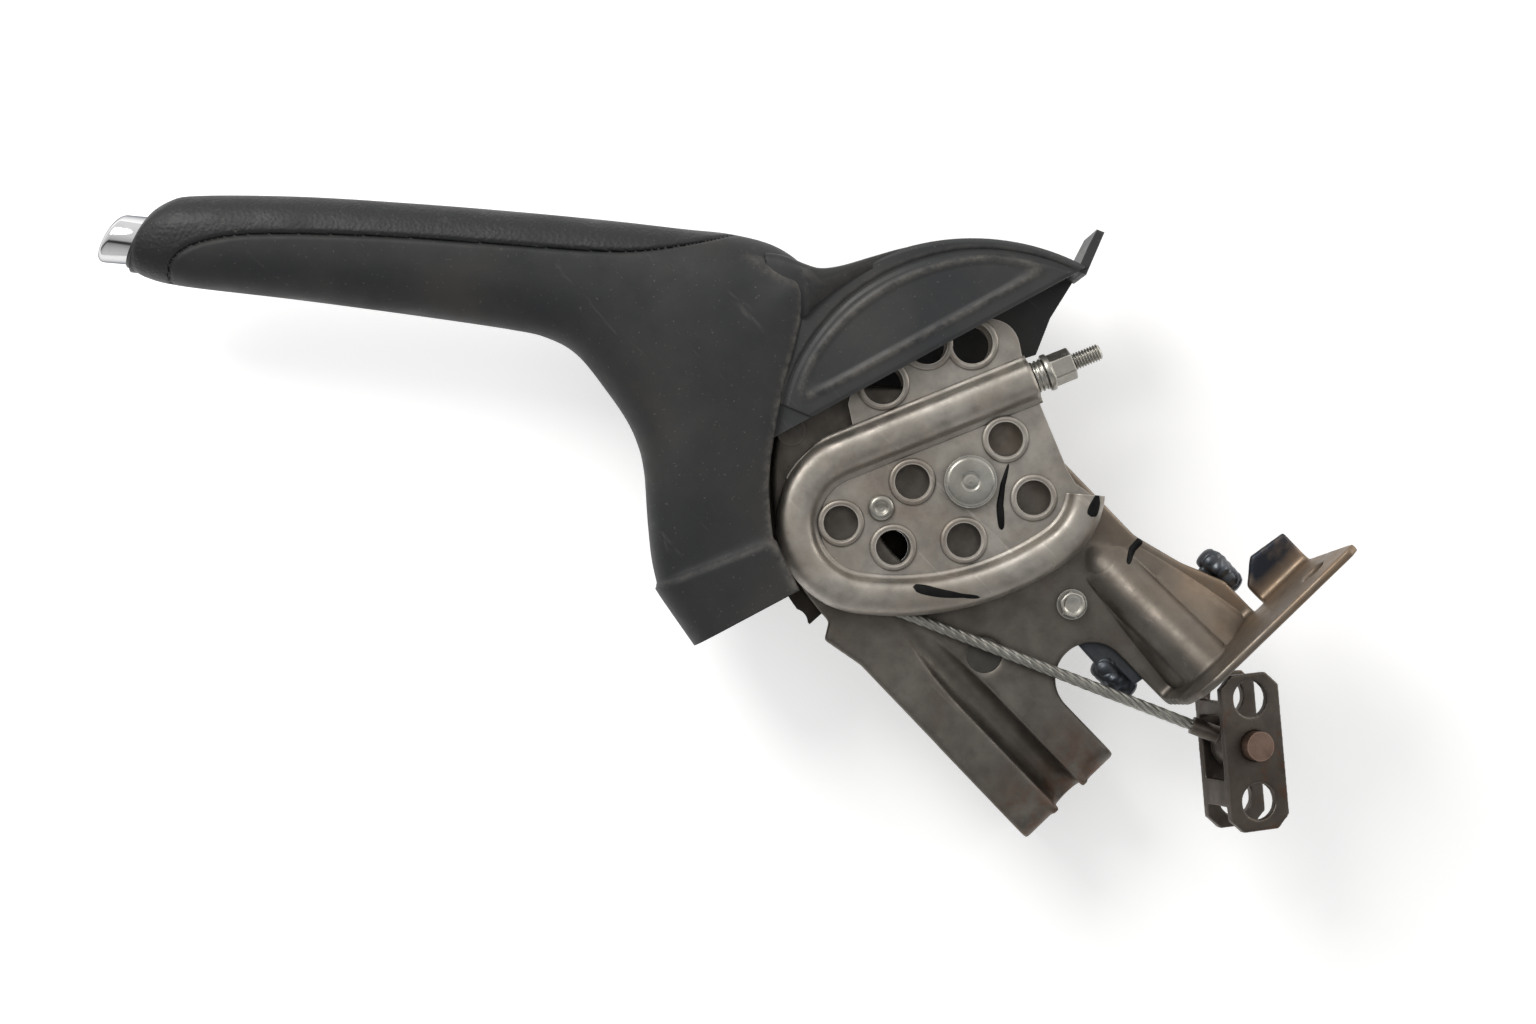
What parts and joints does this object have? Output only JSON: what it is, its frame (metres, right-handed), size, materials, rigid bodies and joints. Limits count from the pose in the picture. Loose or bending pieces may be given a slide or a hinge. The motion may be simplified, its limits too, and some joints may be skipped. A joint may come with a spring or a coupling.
{
  "type": "parking brake lever",
  "caption": "Hand parking brake lever on a pressed floor bracket, with push-button grip, hollow skirt, ratchet sector, pull cable and cable equaliser.",
  "frame": {"origin": "axis of the rear foot's bolt hole, on the mounting plane under the feet", "axes": "+Z is the normal of the mounting plane, -X runs along it toward the hand end, -Y is the side of the raised cable channel"},
  "size_m": [0.2536, 0.088, 0.4316],
  "materials": {
    "bracket_steel": "worn brown-grey zinc",
    "sector_steel": "dark oiled steel",
    "brace_steel": "heat-tinted",
    "fastener_zinc": "zinc plated",
    "pin_steel": "turned",
    "bush_bronze": "sintered",
    "cheek_steel": "satin with worn edges",
    "tube_steel": "black",
    "shell_plastic": "matte charcoal, dusty",
    "insert_plastic": "pebble grain",
    "guide_plastic": "moulded",
    "button_chrome": "polished",
    "spring_steel": "drawn wire",
    "cable_steel": "stranded",
    "equaliser_steel": "rusty grey",
    "pin_copper": "coppery rust"
  },
  "bodies": {
    "bracket": {"base_bracket": "bracket_steel", "ratchet_sector": "sector_steel", "sector_rivets": "bracket_steel", "rear_brace": "brace_steel", "brace_screw": "fastener_zinc", "brace_nut": "fastener_zinc", "pivot_pin": "pin_steel", "near_bush": "bush_bronze", "far_bush": "bush_bronze"},
    "lever": {"near_cheek": "cheek_steel", "cable_channel": "cheek_steel", "far_cheek": "cheek_steel", "lever_tube": "tube_steel", "tube_rivets": "pin_steel", "stop_pin": "pin_steel", "pawl_pin": "pin_steel", "handle_shell": "shell_plastic", "grip_insert": "insert_plastic", "dust_cover": "shell_plastic", "rod_guide": "guide_plastic", "adjuster_rod": "fastener_zinc", "adjuster_collar": "fastener_zinc", "adjuster_nut": "fastener_zinc", "cable_wrap": "cable_steel"},
    "button": {"release_button": "button_chrome", "release_rod": "pin_steel", "spring_collar": "pin_steel", "release_spring": "spring_steel"},
    "pawl": {"pawl": "sector_steel"},
    "cable": {"cable_run": "cable_steel", "cable_eye": "cable_steel"},
    "equaliser": {"equaliser": "equaliser_steel", "equaliser_pin": "pin_copper", "pin_clip": "equaliser_steel"}
  },
  "joints": [
    {"name": "lever_swing", "type": "hinge", "parent": "bracket", "child": "lever", "pos_m": [-0.06, 0.028, 0.103], "axis": [0, 1, 0], "range_deg": [-42, 0]},
    {"name": "button_press", "type": "slide", "parent": "lever", "child": "button", "axis": [0.6526, 0, -0.7577], "range_m": [0, 0.005], "stiffness_N_per_m": 600, "springref_m": -0.004, "deforming": ["release_spring"]},
    {"name": "pawl_release", "type": "hinge", "parent": "lever", "child": "pawl", "pos_m": [-0.0913, 0.028, 0.19439], "axis": [0, 1, 0], "range_deg": [0, 14]},
    {"name": "cable_pull", "type": "slide", "parent": "bracket", "child": "cable", "axis": [0.4199, 0, -0.9076], "range_m": [0, 0.037]},
    {"name": "equaliser_tilt", "type": "hinge", "parent": "cable", "child": "equaliser", "pos_m": [-0.05541, 0.0238, -0.0264], "axis": [-0.2272, 0.9563, 0.184], "range_deg": [-6, 6]}
  ],
  "couplings": [
    {"joint": "pawl_release", "follows": "button_press", "rad_per_m": 47},
    {"joint": "cable_pull", "follows": "lever_swing", "m_per_rad": -0.0495}
  ]
}
